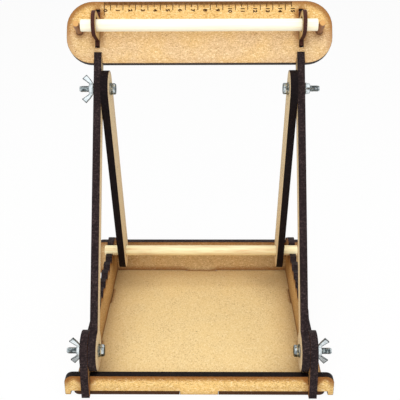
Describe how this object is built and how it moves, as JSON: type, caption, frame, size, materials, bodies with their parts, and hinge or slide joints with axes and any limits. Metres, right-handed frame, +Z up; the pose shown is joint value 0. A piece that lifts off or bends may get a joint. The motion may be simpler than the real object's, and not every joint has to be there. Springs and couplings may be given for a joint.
{
  "type": "macrame frame",
  "caption": "Tabletop frame for knotting cord: a leaning bolted frame with a ruled head board and a working dowel, propped by swinging struts in a tray base with toothed rails.",
  "frame": {"origin": "on the ground under the middle of the part's bounding box, which is the middle of the base", "axes": "+Z up, +X to the right of someone working at it, +Y to the back, where the props reach"},
  "size_m": [0.212, 0.2086, 0.2743],
  "materials": {
    "board": "bare fibre board, cut by laser, with dark scorched edges",
    "head_board": "bare fibre board with a burnt-in scale along its top edge",
    "dowel": "bare pale birch, sanded",
    "bolt": "bright zinc plate with a fine thread",
    "zinc": "bright zinc plate",
    "wing_nut": "bright zinc plate, cast"
  },
  "bodies": {
    "base": {"floor_panel": "board", "front_board": "board", "rear_board": "board", "rail_left": "board", "rail_right": "board", "bolt_lower_left": "bolt", "bolt_lower_right": "bolt", "washer_lower_left": "zinc", "washer_lower_right": "zinc"},
    "frame": {"upright_left": "board", "upright_right": "board", "head_board": "head_board", "ear_left": "board", "ear_right": "board", "peg_left": "dowel", "peg_right": "dowel", "bolt_upper_left": "bolt", "bolt_upper_right": "bolt", "washer_upper_left": "zinc", "washer_upper_right": "zinc"},
    "strut_frame": {"strut_left": "board", "strut_right": "board", "rear_dowel": "dowel"},
    "front_dowel": {"front_dowel": "dowel"},
    "wing_nut_lower_left": {"wing_nut_lower_left": "wing_nut"},
    "wing_nut_lower_right": {"wing_nut_lower_right": "wing_nut"},
    "wing_nut_upper_left": {"wing_nut_upper_left": "wing_nut"},
    "wing_nut_upper_right": {"wing_nut_upper_right": "wing_nut"}
  },
  "joints": [
    {"name": "frame_tilt", "type": "hinge", "parent": "base", "child": "frame", "pos_m": [0, -0.0863, 0.03156], "axis": [1, 0, 0], "range_deg": [0, 115]},
    {"name": "strut_swing", "type": "hinge", "parent": "frame", "child": "strut_frame", "pos_m": [0, 0.01371, 0.21109], "axis": [1, 0, 0], "range_deg": [-42, 0]},
    {"name": "front_dowel_turn", "type": "hinge", "parent": "frame", "child": "front_dowel", "pos_m": [0, 0.01986, 0.26015], "axis": [1, 0, 0], "continuous": true},
    {"name": "wing_nut_lower_left_turn", "type": "hinge", "parent": "base", "child": "wing_nut_lower_left", "pos_m": [-0.0921, -0.0863, 0.03156], "axis": [1, 0, 0], "continuous": true},
    {"name": "wing_nut_lower_right_turn", "type": "hinge", "parent": "base", "child": "wing_nut_lower_right", "pos_m": [0.0921, -0.0863, 0.03156], "axis": [1, 0, 0], "continuous": true},
    {"name": "wing_nut_upper_left_turn", "type": "hinge", "parent": "frame", "child": "wing_nut_upper_left", "pos_m": [-0.0858, 0.01371, 0.21109], "axis": [1, 0, 0], "continuous": true},
    {"name": "wing_nut_upper_right_turn", "type": "hinge", "parent": "frame", "child": "wing_nut_upper_right", "pos_m": [0.0858, 0.01371, 0.21109], "axis": [1, 0, 0], "continuous": true}
  ],
  "couplings": [
    {"joint": "strut_swing", "follows": "frame_tilt", "ratio": -0.36}
  ]
}
